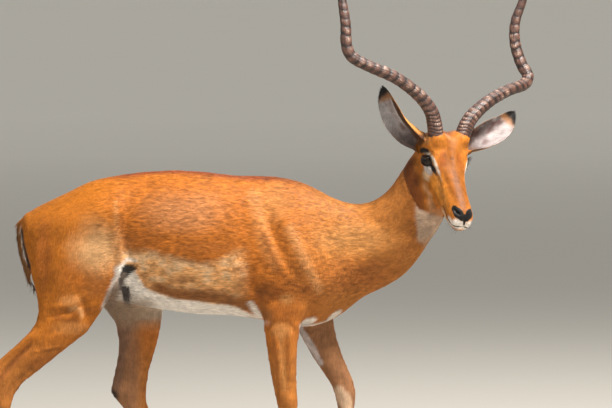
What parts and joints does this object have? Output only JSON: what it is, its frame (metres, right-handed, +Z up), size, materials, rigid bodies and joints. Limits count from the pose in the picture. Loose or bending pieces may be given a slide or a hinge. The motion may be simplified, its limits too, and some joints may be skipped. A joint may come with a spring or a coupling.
{
  "type": "life-size model of an impala ram",
  "caption": "Life-size museum-style model of a standing impala ram, head turned to its right, with long ringed lyre-shaped horns.",
  "frame": {"origin": "bottom centre of the bounding box, on the floor under the hooves", "axes": "+X the way the trunk faces, +Y to the animal's left, +Z up"},
  "size_m": [1.5502, 0.398, 1.5905],
  "materials": {
    "coat": "short glossy hair, reddish brown above and white below",
    "horn": "dark ringed horn, satin",
    "hoof": "black hoof horn, satin",
    "eye": "polished dark glass eye"
  },
  "bodies": {
    "root": {"trunk": "coat", "neck": "coat", "head": "coat", "tail": "coat", "ear_right": "coat", "ear_left": "coat", "eye_right": "eye", "eye_left": "eye", "horn_right": "horn", "horn_left": "horn", "hind_leg_right_upper": "coat", "hind_leg_right_lower": "coat", "hoof_hind_right_outer": "hoof", "hoof_hind_right_inner": "hoof", "hind_leg_left_upper": "coat", "hind_leg_left_lower": "coat", "hoof_hind_left_outer": "hoof", "hoof_hind_left_inner": "hoof", "fore_leg_right_upper": "coat", "fore_leg_right_lower": "coat", "hoof_fore_right_outer": "hoof", "hoof_fore_right_inner": "hoof", "fore_leg_left_upper": "coat", "fore_leg_left_lower": "coat", "hoof_fore_left_outer": "hoof", "hoof_fore_left_inner": "hoof"}
  },
  "joints": []
}
